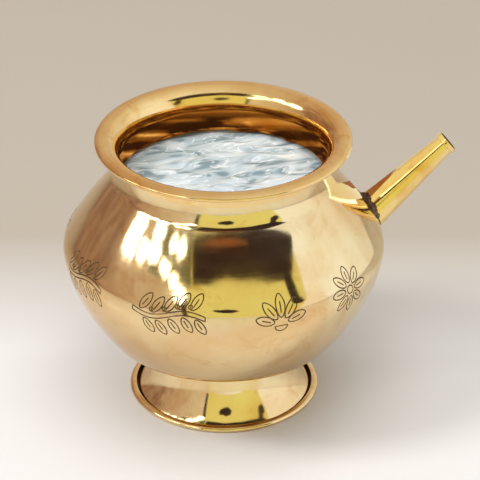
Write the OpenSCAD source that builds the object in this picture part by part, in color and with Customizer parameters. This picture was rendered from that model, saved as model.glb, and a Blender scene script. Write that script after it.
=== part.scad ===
// Lota with a pouring spout: a round brass water pot on a flared foot, built up from
// spun sheet shells that are brazed together. Millimetres, +Z up.
// The origin is the centre of the foot's underside, where the pot stands, and the
// spout points along +X.

/* [Overall] */
// Height from the standing plane to the crest of the lip
pot_height = 102.3; // [98:0.1:106]
// Thickness of the sheet brass
wall = 0.9; // [0.7:0.05:1.2]

/* [Belly] */
// Radius of the belly at its widest line
belly_r = 57.5; // [55:0.1:60]
// Height of the widest line
belly_z = 58.8; // [57:0.1:60]
// Radius of the arc that turns the belly into the shoulder
shoulder_arc_r = 11; // [9:0.5:13]
// Depth at which the bowl's curve would close if it ran on downwards
bowl_curve_depth = 60.2; // [58:0.1:63]
// Fullness of the bowl's curve, where 2 is an ellipse
bowl_fullness = 1.54; // [1.45:0.01:1.65]
// Height at which the bowl's curve turns into the heel
heel_z = 27; // [26:0.5:29]
// Radius of the heel
heel_r = 4; // [3:0.5:5]
// Steepness of the heel where it meets the underside, in degrees from the vertical
heel_end_angle = 75; // [70:1:80]
// Height of the seam between the lower bowl and the upper shell
seam_z = 50; // [47:0.5:52]
// Height of the lapped tongue inside the belly seam
seam_lap = 3.5; // [2.5:0.5:5]

/* [Mouth] */
// Outer radius of the neck
neck_r = 37; // [36:0.1:39]
// Height of the crease between the shoulder and the neck
neck_z = 89; // [87:0.1:90]
// Height at which the straight neck starts to flare
flare_start_z = 93.3; // [93.2:0.1:95]
// Radius of the lip at its crest
crest_r = 42.3; // [41:0.1:43]
// Radius of the droop from the crest to the outer edge
lip_droop_r = 6; // [5:0.5:8]
// Turn of the droop in degrees
lip_droop_angle = 27; // [15:1:35]
// Radius of the rolled bead on the lip's edge
lip_bead_r = 0.8; // [0.7:0.05:1]
// Depth of the neck's spigot inside the shoulder
neck_spigot = 2; // [1.5:0.5:4]

/* [Foot] */
// Radius of the flat seat under the bowl
seat_r = 27.4; // [27:0.1:29]
// Outer radius of the foot at its waist
waist_r = 24.5; // [23.5:0.1:26]
// Height of the waist
waist_z = 21; // [18:0.1:21.2]
// Outer radius of the skirt at its lower edge
skirt_r = 31.6; // [30.5:0.1:32.5]
// Steepest turn of the skirt's flare in degrees
skirt_turn = 45; // [40:1:60]
// Height of the skirt's lower edge above the standing plane
skirt_edge_z = 0.3; // [0.2:0.1:0.6]
// Inner radius of the turned-in flange at the top of the skirt
skirt_flange_r = 20; // [16:0.5:22]
// Outer radius of the rim ring under the skirt
foot_rim_r = 34.5; // [33.8:0.1:35.5]
// Height of the rim ring
foot_rim_h = 2; // [1.6:0.1:2.6]
// Width of the open groove between the skirt and the rim ring
foot_groove_w = 0.6; // [0.3:0.1:0.9]
// Height of the groove's floor above the standing plane
foot_groove_z = 0.6; // [0.5:0.1:0.9]

/* [Spout] */
// Tilt of the spout above the horizontal, in degrees
spout_angle = 39; // [36:1:42]
// Distance of the spout's tip from the pot's axis
spout_tip_x = 85.9; // [80:0.1:90]
// Height of the centre of the spout's tip
spout_tip_z = 86.3; // [84:0.1:89]
// Outer radius of the spout's tube at the tip
spout_tip_r = 3.53; // [3.3:0.01:3.8]
// Growth of the tube's radius for each millimetre towards the root
spout_taper = 0.0818; // [0.07:0.001:0.09]
// Thickness of the spout's sheet
spout_wall = 0.8; // [0.6:0.05:0.9]
// Outer radius of the ring around the tip
tip_ring_r = 4.3; // [4.1:0.05:4.8]
// Length of the ring around the tip
tip_ring_len = 2.35; // [1.8:0.05:3]

/* [Brazing] */
// Width of the visible braze line in the belly seam
seam_gap = 0.3; // [0.2:0.05:0.5]
// Radius of the turned braze fillet between shoulder and neck
neck_fillet_r = 12; // [6:0.5:12]
// Leg of the braze fillet under the bowl
foot_fillet = 1.1; // [0.6:0.1:1.1]
// Wide and narrow legs of the stepped braze collar around the spout
spout_fillet = [1.5, 0.7]; // [0.4:0.1:2]

/* [Hidden] */

round_fn = 96;
curve_steps = 12;
arc_steps = 6;

// The bowl's tongue sits a hair inside the upper shell
tongue_depth = wall + 0.02;
// Height over which the bowl's wall steps inwards below the tongue
joggle_run = 1.5;
// Height of the skirt's straight edge inside the rim ring
foot_ring_land = 0.9;
// How far the ring's oval runs on past the skirt, and the oval's half height
foot_rim_crown = 0.15;
foot_rim_crown_h = 1.15;

function backwards(list) = [for (i = [len(list) - 1 : -1 : 0]) list[i]];

// --- Belly outline --------------------------------------------------------------
// The outline is given as points on the outer face, moved inwards by a depth d
// along the face's own normal. Angles of normals are degrees above the horizontal.

function on_arc(c, r, a) = [c[0] + r * cos(a), c[1] + r * sin(a)];
function depth_ratio(z) = (belly_z - z) / bowl_curve_depth;
function bowl_r(z) = belly_r * pow(1 - pow(depth_ratio(z), bowl_fullness), 1 / bowl_fullness);
function bowl_slope(z) =
    belly_r / bowl_curve_depth * pow(depth_ratio(z), bowl_fullness - 1)
    * pow(1 - pow(depth_ratio(z), bowl_fullness), 1 / bowl_fullness - 1);
function bowl_normal(z) = z >= belly_z ? 0 : -atan(bowl_slope(z));
function bowl_point(z, d) =
    [bowl_r(z) - d * cos(bowl_normal(z)), z - d * sin(bowl_normal(z))];
function bowl_points(z0, z1, d) =
    [for (i = [0 : curve_steps]) bowl_point(z0 + (z1 - z0) * i / curve_steps, d)];

// The heel is an arc that starts tangent to the bowl's curve
heel_start_angle = bowl_normal(heel_z);
heel_centre = bowl_point(heel_z, heel_r);
heel_foot = on_arc(heel_centre, heel_r, -heel_end_angle);
underside_slope = 90 - heel_end_angle;
seat_z = heel_foot[1] - (heel_foot[0] - seat_r) * tan(underside_slope);
function heel_points(d) = [
    for (i = [0 : arc_steps - 1])
        on_arc(heel_centre, heel_r - d,
               -heel_end_angle + (heel_start_angle + heel_end_angle) * i / arc_steps)
];
function seat_corner(d) = [seat_r - d * tan(underside_slope / 2), seat_z + d];

// The shoulder is an arc that starts at the widest line and runs out along the
// straight line that meets the neck's crease
shoulder_centre = [belly_r - shoulder_arc_r, belly_z];
to_neck = [neck_r, neck_z] - shoulder_centre;
shoulder_normal = atan2(to_neck[1], to_neck[0]) - acos(shoulder_arc_r / norm(to_neck));
function shoulder_points(d) = [
    for (i = [1 : arc_steps])
        on_arc(shoulder_centre, shoulder_arc_r - d, shoulder_normal * i / arc_steps)
];
function crease_point(d) = [neck_r, neck_z - d / sin(shoulder_normal)];

// Everything inside the belly's outer face, moved inwards by d
module belly_envelope(d) {
    rotate_extrude($fn = round_fn)
        polygon(concat(
            [[0, seat_z + d], seat_corner(d)],
            heel_points(d),
            bowl_points(heel_z, belly_z, d),
            shoulder_points(d),
            [crease_point(d), [0, crease_point(d)[1]]]
        ));
}

// --- Spout helpers --------------------------------------------------------------

spout_reach = 50;

// Puts a shape's +Z along the spout, with its origin at the tip
module along_spout() {
    translate([spout_tip_x, 0, spout_tip_z])
        rotate([0, 90 - spout_angle, 0])
            children();
}

// The tube's outer cone, made thicker by grow, from the tip back to depth
module spout_cone(grow, depth) {
    along_spout()
        translate([0, 0, -depth])
            cylinder(
                h = depth,
                r1 = spout_tip_r + grow + spout_taper * depth,
                r2 = spout_tip_r + grow,
                $fn = round_fn
            );
}

// --- Pieces ---------------------------------------------------------------------

// Spun bowl: seat, heel and lower belly, with a joggled tongue that laps inside
// the upper shell
module lower_bowl() {
    step_z = seam_z - seam_gap / 2;
    tongue_z = seam_z + seam_lap;
    joggle_z = seam_z - wall;
    color("goldenrod")
        rotate_extrude($fn = round_fn)
            polygon(concat(
                [[0, seat_z], seat_corner(0)],
                heel_points(0),
                bowl_points(heel_z, step_z, 0),
                [bowl_point(step_z, tongue_depth)],
                [bowl_point(tongue_z, tongue_depth), bowl_point(tongue_z, tongue_depth + wall)],
                [bowl_point(joggle_z, tongue_depth + wall)],
                backwards(bowl_points(heel_z, joggle_z - joggle_run, wall)),
                backwards(heel_points(wall)),
                [seat_corner(wall), [0, seat_z + wall]]
            ));
}

// Spun shell: upper belly and straight shoulder, with holes for neck and spout
module upper_shell() {
    edge_z = seam_z + seam_gap / 2;
    color("gold")
        difference() {
            rotate_extrude($fn = round_fn)
                polygon(concat(
                    bowl_points(edge_z, belly_z, 0),
                    shoulder_points(0),
                    [crease_point(0), crease_point(wall)],
                    backwards(shoulder_points(wall)),
                    backwards(bowl_points(edge_z, belly_z, wall))
                ));
            spout_cone(0, spout_reach);
        }
}

// Neck and flared mouth in one spun piece: a straight neck whose spigot drops into
// the shoulder, a quarter-round flare up to the crest, a slight droop and a bead
module mouth_flare() {
    throat_r = neck_r - wall;
    flare_rise = pot_height - flare_start_z;
    flare_spread = crest_r - throat_r;
    spigot_z = neck_z - neck_spigot;
    droop_centre = [crest_r, pot_height - lip_droop_r];
    edge_normal = 90 - lip_droop_angle;
    bead_centre = on_arc(droop_centre, lip_droop_r - lip_bead_r, edge_normal);
    bead_turn = 180;
    color("khaki")
        rotate_extrude($fn = round_fn)
            polygon(concat(
                [[throat_r, spigot_z]],
                flare_points(throat_r, flare_spread, flare_rise, 0),
                [for (i = [1 : arc_steps])
                    on_arc(droop_centre, lip_droop_r, 90 - lip_droop_angle * i / arc_steps)],
                [for (i = [1 : curve_steps])
                    on_arc(bead_centre, lip_bead_r, edge_normal - bead_turn * i / curve_steps)],
                [for (i = [arc_steps : -1 : 1])
                    on_arc(droop_centre, lip_droop_r - wall, 90 - lip_droop_angle * (i - 1) / arc_steps)],
                backwards(flare_points(throat_r, flare_spread, flare_rise, wall)),
                [[neck_r, spigot_z]]
            ));
}

// Upper face of the flare, a quarter of an ellipse, moved outwards by d
function flare_points(r, spread, rise, d) = [
    for (i = [0 : curve_steps])
        let (t = 90 * i / curve_steps, turn = atan2(spread * sin(t), rise * cos(t)))
            [r + spread * (1 - cos(t)) + d * cos(turn), flare_start_z + rise * sin(t) - d * sin(turn)]
];

// Spun skirt of the foot: a flange turned in under the seat, a waist and a flare
module foot_skirt() {
    flare_spread = (skirt_r - waist_r) / (1 - cos(skirt_turn));
    flare_drop = (waist_z - skirt_edge_z - foot_ring_land) / sin(skirt_turn);
    color("darkkhaki")
        rotate_extrude($fn = round_fn)
            polygon(concat(
                [[skirt_flange_r, seat_z], [waist_r, seat_z]],
                skirt_points(flare_spread, flare_drop, 0),
                [[skirt_r, skirt_edge_z], [skirt_r - wall, skirt_edge_z]],
                backwards(skirt_points(flare_spread, flare_drop, wall)),
                [[waist_r - wall, seat_z - wall], [skirt_flange_r, seat_z - wall]]
            ));
}

// Outer face of the skirt's flare, part of an ellipse, moved inwards by d
function skirt_points(spread, drop, d) = [
    for (i = [0 : curve_steps])
        let (t = skirt_turn * i / curve_steps, turn = atan2(spread * sin(t), drop * cos(t)))
            [waist_r + spread * (1 - cos(t)) - d * cos(turn), waist_z - drop * sin(t) - d * sin(turn)]
];

// Oval ring sweated around the skirt's lower edge; the pot stands on it, and an
// open groove is left between the ring's crown and the skirt
module foot_rim() {
    half_width = (foot_rim_r - skirt_r) / 2 + foot_rim_crown;
    centre = [foot_rim_r - half_width, foot_rim_h - foot_rim_crown_h];
    color("peru")
        rotate_extrude($fn = round_fn)
            intersection() {
                polygon([
                    for (i = [0 : 3 * curve_steps])
                        let (t = 120 * i / curve_steps)
                            [centre[0] + half_width * cos(t), centre[1] + foot_rim_crown_h * sin(t)]
                ]);
                union() {
                    translate([skirt_r, 0])
                        square([foot_rim_r, foot_groove_z]);
                    translate([skirt_r + foot_groove_w, 0])
                        square([foot_rim_r, foot_rim_h]);
                }
            }
}

// Tapered tube rolled from sheet, trimmed flush with the inside of the shell
module spout_tube() {
    color("sandybrown")
        difference() {
            spout_cone(0, spout_reach);
            spout_cone(-spout_wall, spout_reach);
            belly_envelope(wall);
        }
}

// Ring around the tip, its edges rounded over
module spout_tip_ring() {
    tube_r = spout_tip_r + spout_taper * tip_ring_len;
    round_r = tip_ring_r - tube_r;
    color("lightyellow")
        difference() {
            along_spout()
                rotate_extrude($fn = round_fn)
                    polygon(concat(
                        [[spout_tip_r - spout_wall, 0]],
                        [for (i = [0 : arc_steps])
                            on_arc([tube_r, -round_r], round_r, 90 - 90 * i / arc_steps)],
                        [for (i = [0 : arc_steps])
                            on_arc([tube_r, round_r - tip_ring_len], round_r, -90 * i / arc_steps)],
                        [[spout_tip_r - spout_wall, -tip_ring_len]]
                    ));
            spout_cone(0, spout_reach);
        }
}

// Braze that shows as a line in the belly seam
module belly_braze() {
    low_z = seam_z - seam_gap / 2;
    high_z = seam_z + seam_gap / 2;
    color("chocolate")
        rotate_extrude($fn = round_fn)
            polygon([
                bowl_point(low_z, 0),
                bowl_point(high_z, 0),
                bowl_point(high_z, wall),
                bowl_point(low_z, wall)
            ]);
}

// Broad braze fillet where the neck stands on the shoulder, turned smooth so that it
// runs on from both
module neck_braze() {
    leg = neck_fillet_r * tan(shoulder_normal / 2);
    centre = [neck_r + neck_fillet_r, neck_z + leg];
    color("chocolate")
        rotate_extrude($fn = round_fn)
            polygon(concat(
                [[neck_r, neck_z]],
                [for (i = [arc_steps : -1 : 0])
                    on_arc(centre, neck_fillet_r, 180 + shoulder_normal * i / arc_steps)]
            ));
}

// Braze fillet in the corner between the skirt and the seat
module foot_braze() {
    color("chocolate")
        rotate_extrude($fn = round_fn)
            polygon(concat(
                [[waist_r, seat_z]],
                [for (a = [90 : 90 / arc_steps : 180])
                    on_arc([waist_r + foot_fillet, seat_z - foot_fillet], foot_fillet, a)]
            ));
}

// Braze collar that follows the line where the spout leaves the belly
module spout_braze() {
    color("chocolate")
        difference() {
            union() {
                for (legs = [spout_fillet, backwards(spout_fillet)])
                    intersection() {
                        spout_cone(legs[0], spout_reach);
                        belly_envelope(-legs[1]);
                    }
            }
            spout_cone(0, spout_reach);
            belly_envelope(0);
        }
}

lower_bowl();
upper_shell();
mouth_flare();
foot_skirt();
foot_rim();
spout_tube();
spout_tip_ring();
belly_braze();
neck_braze();
foot_braze();
spout_braze();
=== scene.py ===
"""Looks of a spouted brass lota: fine spun shells, an engraved belly band, brazed joints,
a rippled water surface and a soft daylight studio. Lengths are written in millimetres
and turned into metres where meshes are made."""

import math

import bpy
import numpy as np
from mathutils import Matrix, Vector, noise
from mathutils.geometry import delaunay_2d_cdt


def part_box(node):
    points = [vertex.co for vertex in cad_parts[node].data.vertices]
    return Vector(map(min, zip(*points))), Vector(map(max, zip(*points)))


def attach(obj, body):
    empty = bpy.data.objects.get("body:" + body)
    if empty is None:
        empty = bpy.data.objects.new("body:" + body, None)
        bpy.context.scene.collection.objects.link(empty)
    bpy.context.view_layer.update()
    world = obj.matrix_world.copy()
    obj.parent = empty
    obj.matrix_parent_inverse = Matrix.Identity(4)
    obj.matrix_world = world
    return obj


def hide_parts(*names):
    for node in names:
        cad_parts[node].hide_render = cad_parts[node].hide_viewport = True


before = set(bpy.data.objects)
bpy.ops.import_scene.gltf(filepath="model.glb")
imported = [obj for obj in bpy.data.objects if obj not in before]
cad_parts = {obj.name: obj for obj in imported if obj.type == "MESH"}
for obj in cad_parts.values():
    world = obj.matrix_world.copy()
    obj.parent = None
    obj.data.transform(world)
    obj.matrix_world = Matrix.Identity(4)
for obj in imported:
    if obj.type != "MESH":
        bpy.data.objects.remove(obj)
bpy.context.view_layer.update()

MM = 0.001


def box_mm(node):
    """A CAD node's lowest and highest corners in millimetres."""
    low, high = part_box(node)
    return low / MM, high / MM


# --- Sizes of the pot, from the frame where it holds them ------------------------

SHELL_HIGH = box_mm("upper_shell")[1]
MOUTH_LOW, MOUTH_HIGH = box_mm("mouth_flare")
SKIRT_LOW, SKIRT_HIGH = box_mm("foot_skirt")
RIM_HIGH = box_mm("foot_rim")[1]
BOWL_LOW = box_mm("lower_bowl")[0]

WALL = 0.9
POT_HEIGHT = MOUTH_HIGH.z
BELLY_R = SHELL_HIGH.y
BELLY_Z = 58.8
SHOULDER_ARC_R = 11.0
BOWL_CURVE_DEPTH = 60.2
BOWL_FULLNESS = 1.54
HEEL_Z = 27.0
HEEL_R = 4.0
HEEL_END_ANGLE = 75.0
SEAM_Z = 50.0
SEAM_GAP = 0.3
SEAM_LAP = 3.5
NECK_R = 37.0
NECK_Z = 89.0
NECK_SPIGOT = NECK_Z - MOUTH_LOW.z
NECK_FILLET_R = 12.0
FLARE_START_Z = 93.3
CREST_R = 42.3
LIP_DROOP_R = 6.0
LIP_DROOP_ANGLE = 27.0
LIP_BEAD_R = 0.8
SEAT_R = 27.4
SEAT_Z = BOWL_LOW.z
WAIST_R = 24.5
WAIST_Z = 21.0
SKIRT_R = SKIRT_HIGH.y
SKIRT_EDGE_Z = SKIRT_LOW.z
SKIRT_LAND = 0.9
SKIRT_TURN = 45.0
SKIRT_FLANGE_R = 20.0
FOOT_RIM_R = RIM_HIGH.y
FOOT_RIM_H = RIM_HIGH.z
FOOT_RIM_CROWN = 0.15
FOOT_RIM_CROWN_H = 1.15
FOOT_GROOVE_W = 0.6
FOOT_GROOVE_Z = 0.6
FOOT_FILLET = 1.1
SPOUT_TILT = math.radians(39.0)
SPOUT_TIP = Vector((85.9, 0.0, 86.3))
SPOUT_TIP_R = 3.53
SPOUT_TAPER = 0.0818
SPOUT_WALL = 0.8
TIP_RING_R = 4.3
TIP_RING_LEN = 2.35
TIP_SLANT = 0.07
TIP_INSET = 0.5
TIP_EDGE = 0.3
WATER_Z = 84.4

# --- Outlines ---------------------------------------------------------------------


def on_arc(centre, radius, angle):
    """Point on a circle in the r, z plane; the angle is in degrees."""
    a = math.radians(angle)
    return (centre[0] + radius * math.cos(a), centre[1] + radius * math.sin(a))


def on_circle(r, turn, z):
    """Point at height z and distance r from the pot's axis; the turn is in radians."""
    return Vector((r * math.cos(turn), r * math.sin(turn), z))


def steps(start, end, count):
    """count + 1 values from start to end, both included."""
    return [start + (end - start) * i / count for i in range(count + 1)]


def round_turns(count):
    """Equal turns round a circle, in radians."""
    return steps(0, 2 * math.pi, count)[:-1]


def bowl_point(z, depth=0.0):
    """Point of the bowl's curve at height z, moved inwards by depth along its normal."""
    t = max(0.0, (BELLY_Z - z) / BOWL_CURVE_DEPTH)
    full = 1 - t**BOWL_FULLNESS
    r = BELLY_R * full ** (1 / BOWL_FULLNESS)
    slope = BELLY_R / BOWL_CURVE_DEPTH * t ** (BOWL_FULLNESS - 1) * full ** (1 / BOWL_FULLNESS - 1)
    a = -math.atan(slope)
    return (r - depth * math.cos(a), z - depth * math.sin(a))


def bowl_points(z0, z1, count, depth=0.0):
    return [bowl_point(z, depth) for z in steps(z0, z1, count)]


def normal_angle_at(z):
    """Angle of the bowl's outward normal at height z, in degrees above the horizontal."""
    inner = bowl_point(z, 1.0)
    outer = bowl_point(z)
    return math.degrees(math.atan2(outer[1] - inner[1], outer[0] - inner[0]))


HEEL_CENTRE = bowl_point(HEEL_Z, HEEL_R)
UNDERSIDE_SLOPE = 90 - HEEL_END_ANGLE


def heel_points(count, depth=0.0):
    angles = steps(-HEEL_END_ANGLE, normal_angle_at(HEEL_Z), count)
    return [on_arc(HEEL_CENTRE, HEEL_R - depth, a) for a in angles[:-1]]


def seat_corner(depth=0.0):
    return (SEAT_R - depth * math.tan(math.radians(UNDERSIDE_SLOPE / 2)), SEAT_Z + depth)


SHOULDER_CENTRE = (BELLY_R - SHOULDER_ARC_R, BELLY_Z)
TO_NECK = (NECK_R - SHOULDER_CENTRE[0], NECK_Z - SHOULDER_CENTRE[1])
SHOULDER_NORMAL = math.degrees(
    math.atan2(TO_NECK[1], TO_NECK[0]) - math.acos(SHOULDER_ARC_R / math.hypot(*TO_NECK))
)


def shoulder_points(count, depth=0.0):
    angles = steps(0, SHOULDER_NORMAL, count)
    return [on_arc(SHOULDER_CENTRE, SHOULDER_ARC_R - depth, a) for a in angles[1:]]


def crease_point(depth=0.0):
    return (NECK_R, NECK_Z - depth / math.sin(math.radians(SHOULDER_NORMAL)))


def flare_points(count, depth=0.0):
    """Upper face of the flare, a quarter of an ellipse, moved outwards by depth."""
    throat = NECK_R - WALL
    spread = CREST_R - throat
    rise = POT_HEIGHT - FLARE_START_Z
    points = []
    for t in steps(0, math.pi / 2, count):
        turn = math.atan2(spread * math.sin(t), rise * math.cos(t))
        r = throat + spread * (1 - math.cos(t)) + depth * math.cos(turn)
        points.append((r, FLARE_START_Z + rise * math.sin(t) - depth * math.sin(turn)))
    return points


def skirt_points(count, depth=0.0):
    """Outer face of the skirt's flare, part of an ellipse, moved inwards by depth."""
    turn_end = math.radians(SKIRT_TURN)
    spread = (SKIRT_R - WAIST_R) / (1 - math.cos(turn_end))
    drop = (WAIST_Z - SKIRT_EDGE_Z - SKIRT_LAND) / math.sin(turn_end)
    points = []
    for t in steps(0, turn_end, count):
        turn = math.atan2(spread * math.sin(t), drop * math.cos(t))
        r = WAIST_R + spread * (1 - math.cos(t)) - depth * math.cos(turn)
        points.append((r, WAIST_Z - drop * math.sin(t) - depth * math.sin(turn)))
    return points


# --- Mesh helpers -------------------------------------------------------------------

ROUND_STEPS = 360
SHARP_CORNER = math.radians(28)


def new_object(name, verts_mm, faces, smooth=True):
    """A mesh object whose corners are given in millimetres."""
    mesh = bpy.data.meshes.new(name)
    mesh.from_pydata([tuple(c * MM for c in v) for v in verts_mm], [], faces)
    mesh.polygons.foreach_set("use_smooth", [smooth] * len(mesh.polygons))
    mesh.validate()
    obj = bpy.data.objects.new(name, mesh)
    bpy.context.scene.collection.objects.link(obj)
    return obj


def corner_turn(before, here, after):
    """How far an outline turns at a point, in radians."""
    a = math.atan2(here[1] - before[1], here[0] - before[0])
    b = math.atan2(after[1] - here[1], after[0] - here[0])
    return abs((b - a + math.pi) % (2 * math.pi) - math.pi)


def mark_sharp_rows(obj, row_of, rows):
    """Sharp edges along whole rings of points, where row_of gives the ring of each point."""
    sharp = []
    for edge in obj.data.edges:
        a, b = edge.vertices
        sharp.append(row_of[a] == row_of[b] and row_of[a] in rows)
    attribute = obj.data.attributes.new("sharp_edge", "BOOLEAN", "EDGE")
    attribute.data.foreach_set("value", sharp)


def lathe(name, outline, place=None, count=ROUND_STEPS):
    """A solid of revolution from an outline of (r, z), which place may move.

    An outline that starts and ends on the axis closes there, and any other closes on itself."""
    verts, rings = [], []
    for r, z in outline:
        if r == 0:
            rings.append([len(verts)] * count)
            verts.append(Vector((0, 0, z)))
            continue
        rings.append(range(len(verts), len(verts) + count))
        verts += [on_circle(r, a, z) for a in round_turns(count)]
    if place:
        verts = [place(v) for v in verts]
    rows = len(outline)
    on_axis = outline[0][0] == 0
    faces = []
    for row in range(rows - 1 if on_axis else rows):
        low, high = rings[row], rings[(row + 1) % rows]
        for i in range(count):
            j = (i + 1) % count
            face = dict.fromkeys((low[i], low[j], high[j], high[i]))
            faces.append(tuple(face))
    obj = new_object(name, verts, faces)
    turns = [corner_turn(outline[i - 1], outline[i], outline[(i + 1) % rows]) for i in range(rows)]
    corners = {i for i, turn in enumerate(turns) if turn > SHARP_CORNER and outline[i][0] > 0}
    row_of = [0] * len(verts)
    for row, ring in enumerate(rings):
        for v in ring:
            row_of[v] = row
    mark_sharp_rows(obj, row_of, corners)
    return obj


# Unit vectors along the spout, sideways, and down across it
SPOUT_ALONG = Vector((math.cos(SPOUT_TILT), 0, math.sin(SPOUT_TILT)))
SPOUT_SIDE = Vector((0, 1, 0))
SPOUT_ACROSS = SPOUT_SIDE.cross(SPOUT_ALONG)


def on_spout(v):
    """Places a point given with +Z along the spout and its origin at the tip."""
    return SPOUT_TIP + SPOUT_ACROSS * v.x + SPOUT_SIDE * v.y + SPOUT_ALONG * v.z


# --- The belly's outer face as a map --------------------------------------------------
# A point is (u, s): u is the distance round the belly at its widest radius, with zero
# at the spout, and s is the distance up the face from the seam.
# The spun shoulder is a cone with a slight crown: its normal turns by CROWN_TURN degrees
# to each side of the cone's.

CROWN_TURN = 5.0
CROWN_START_NORMAL = SHOULDER_NORMAL - CROWN_TURN
CROWN_END_NORMAL = SHOULDER_NORMAL + CROWN_TURN


def crown_points(count, depth=0.0):
    """The crowned shoulder from its arc up to the crease, an arc of a large circle."""
    start = on_arc(SHOULDER_CENTRE, SHOULDER_ARC_R, CROWN_START_NORMAL)
    end = crease_point()
    chord = math.hypot(end[0] - start[0], end[1] - start[1])
    lean = math.degrees(math.atan2(end[0] - start[0], -(end[1] - start[1]))) + 180
    half = CROWN_TURN + 0.5
    radius = chord / 2 / math.sin(math.radians(half))
    middle = ((start[0] + end[0]) / 2, (start[1] + end[1]) / 2)
    centre = on_arc(middle, -radius * math.cos(math.radians(half)), lean)
    return [on_arc(centre, radius - depth, lean + a) for a in steps(-half, half, count)]


def shell_outline():
    """Outer face of the upper shell from the seam to the crease."""
    outline = bowl_points(SEAM_Z + SEAM_GAP / 2, BELLY_Z, 30)
    arc = steps(0, CROWN_START_NORMAL, 30)[1:-1]
    outline += [on_arc(SHOULDER_CENTRE, SHOULDER_ARC_R, a) for a in arc]
    outline += crown_points(60)
    return np.array(outline)


SHELL = shell_outline()
SHELL_S = np.concatenate([[0], np.cumsum(np.hypot(*np.diff(SHELL, axis=0).T))])
SHELL_TOP_S = SHELL_S[-1]
HALF_TURN_U = math.pi * BELLY_R
SHELL_RUN = np.gradient(SHELL, axis=0)
SHELL_TILT = np.degrees(np.arctan2(-SHELL_RUN[:, 0], SHELL_RUN[:, 1]))


def shell_angle(z):
    """Angle of the shell's outward normal at height z, in degrees above the horizontal."""
    return float(np.interp(z, SHELL[:, 1], SHELL_TILT))


def shell_at(u, s, depth=0.0):
    """Position and outward normal of a point of the shell's outer face."""
    a = u / BELLY_R
    r = float(np.interp(s, SHELL_S, SHELL[:, 0]))
    z = float(np.interp(s, SHELL_S, SHELL[:, 1]))
    tilt = math.radians(shell_angle(z))
    normal = on_circle(math.cos(tilt), a, math.sin(tilt))
    return on_circle(r, a, z) - normal * depth, normal


def on_map(point):
    """(u, s) of a point near the shell's outer face."""
    s = float(np.interp(point.z, SHELL[:, 1], SHELL_S))
    return math.atan2(point.y, point.x) * BELLY_R, s


def spout_ray(turn, back, grow=0.0):
    """Point on the spout's outer cone, turned round its axis and back from the tip."""
    r = SPOUT_TIP_R + grow + SPOUT_TAPER * back
    across = SPOUT_ACROSS * math.cos(turn) + SPOUT_SIDE * math.sin(turn)
    return SPOUT_TIP - SPOUT_ALONG * back + across * r


def inside_belly(point, depth):
    """Whether a point lies deeper than depth under the belly's outer face."""
    r = math.hypot(point.x, point.y)
    if point.z <= SEAM_Z + SEAM_GAP:
        wall_r = bowl_point(point.z)[0]
        tilt = normal_angle_at(point.z)
    else:
        wall_r = float(np.interp(point.z, SHELL[:, 1], SHELL[:, 0]))
        tilt = shell_angle(point.z)
    return (wall_r - r) * math.cos(math.radians(tilt)) > depth


def spout_meets_belly(turn, depth=0.0, grow=0.0):
    """How far back from the tip the spout's cone meets the belly at this turn."""
    near, far = 20.0, 50.0
    for _ in range(40):
        middle = (near + far) / 2
        if inside_belly(spout_ray(turn, middle, grow), depth):
            far = middle
        else:
            near = middle
    return (near + far) / 2


# --- Engraved ornament -----------------------------------------------------------------
# Each line is (closed, points), in millimetres on the map, around its motif's centre.

LINE_STEP = 0.45


def measured(points, closed):
    """A line as an array, ended where it began if closed, and the way along it to each point."""
    path = np.array(points + [points[0]] if closed else points, float)
    return path, np.concatenate([[0], np.cumsum(np.hypot(*np.diff(path, axis=0).T))])


def points_at(path, along, at):
    """Points of a measured line that lie the distances at along it."""
    return list(zip(*(np.interp(at, along, path[:, k]) for k in (0, 1)), strict=True))


def resampled(points, closed):
    """The same line with points about LINE_STEP apart."""
    path, along = measured(points, closed)
    count = max(3, round(along[-1] / LINE_STEP))
    at = np.linspace(0, along[-1], count + 1)
    if closed:
        at = at[:-1]
    return points_at(path, along, at)


def turned(points, angle, origin=(0.0, 0.0)):
    """Points turned by angle in degrees, then moved to origin."""
    a = math.radians(angle)
    c, s = math.cos(a), math.sin(a)
    return [(origin[0] + x * c - y * s, origin[1] + x * s + y * c) for x, y in points]


def leaf(base, angle, length, width):
    """Outline of a pointed leaf that grows from base, with a short midrib."""
    pointed = 1.35
    outline = []
    for t in round_turns(60):
        swell = math.copysign(abs(math.sin(t)) ** pointed, math.sin(t))
        outline.append((length / 2 * (1 - math.cos(t)), width / 2 * swell))
    midrib = [(length * 0.2, 0), (length * 0.68, 0)]
    return [(True, turned(outline, angle, base)), (False, turned(midrib, angle, base))]


def ring(centre, radius):
    points = [(radius * math.cos(a), radius * math.sin(a)) for a in round_turns(24)]
    return [(True, turned(points, 0, centre))]


def rosette():
    """Eight-petalled flower seen from the front."""
    petals = 8
    lines = ring((0, 0), 1.5)
    for k in range(petals):
        a = 360 / petals * k
        lines += leaf(on_arc((0, 0), 2.4, a), a, 6.4, 3.1)
    return lines


def side_flower():
    """Flower seen from the side: a fan of petals on a cup between two leaves."""
    lines = []
    for a, length in ((90, 8.6), (54, 8.0), (126, 8.0), (18, 7.0), (162, 7.0)):
        lines += leaf(on_arc((0, -3.6), 2.6, a), a, length, 3.4)
    cup = [(2.3 * math.cos(a), -4.3 + 2.3 * math.sin(a)) for a in steps(math.pi, 2 * math.pi, 20)]
    lines.append((True, cup))
    return lines


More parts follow.
